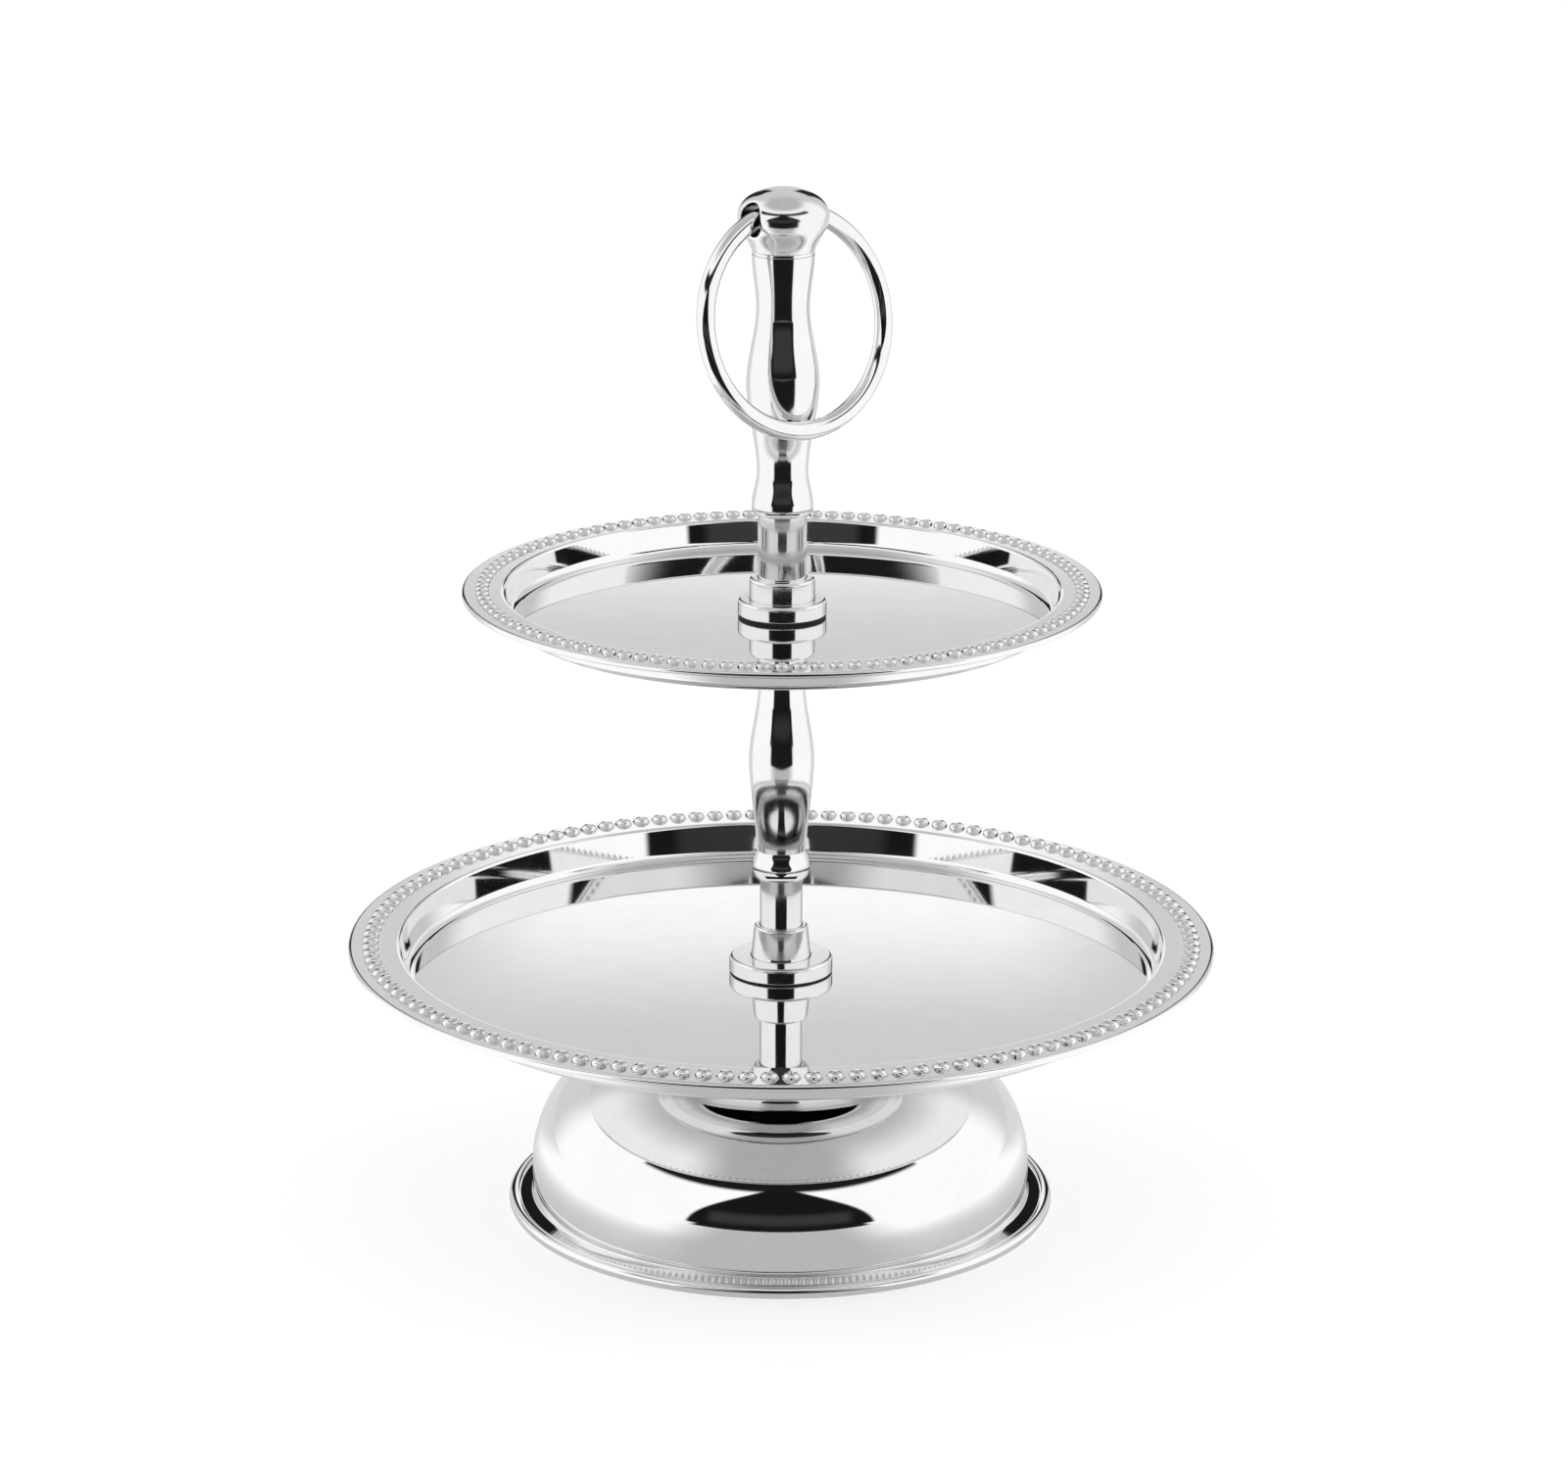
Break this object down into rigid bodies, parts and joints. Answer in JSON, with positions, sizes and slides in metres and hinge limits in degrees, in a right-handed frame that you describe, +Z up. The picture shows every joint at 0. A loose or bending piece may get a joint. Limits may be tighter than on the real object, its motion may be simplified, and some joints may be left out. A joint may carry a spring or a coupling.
{
  "type": "tiered cake stand",
  "caption": "Mirror-polished two-tier cake stand: round trays with beaded rims on a bowl foot, turned columns and a finial with a swinging carrying ring.",
  "frame": {"origin": "centre of the foot's bead on the surface that the stand rests on", "axes": "+Z up along the columns; -Y is the front, where the ring leans; the ring's hole runs from the front left to the back right, 37 degrees from +X towards +Y"},
  "size_m": [0.3, 0.3, 0.3602],
  "materials": {
    "spun_sheet": "mirror-polished metal sheet",
    "turned_column": "polished turned metal",
    "ring_wire": "polished round wire",
    "soft_washer": "matt black rubber",
    "fastener": "zinc-plated steel"
  },
  "bodies": {
    "stand": {"foot_shell": "spun_sheet", "foot_washer": "fastener", "foot_lock_washer": "fastener", "foot_nut": "fastener", "foot_gasket": "soft_washer", "lower_tray": "spun_sheet", "lower_gasket": "soft_washer", "lower_flange": "turned_column", "lower_socket": "turned_column", "lower_neck": "turned_column", "lower_baluster": "turned_column", "lower_tie_rod": "fastener", "coupling_nut": "fastener", "support_disc": "turned_column", "support_gasket": "soft_washer", "upper_tray": "spun_sheet", "upper_gasket": "soft_washer", "upper_flange": "turned_column", "upper_step_collar": "turned_column", "upper_neck": "turned_column", "upper_baluster": "turned_column", "finial_collar": "turned_column", "finial_head": "turned_column", "upper_tie_rod": "fastener"},
    "ring": {"carrying_ring": "ring_wire"}
  },
  "joints": [
    {"name": "ring_swing", "type": "hinge", "parent": "stand", "child": "ring", "pos_m": [0, 0, 0.3502], "axis": [-0.7986, -0.6018, 0], "range_deg": [0, 337]}
  ]
}
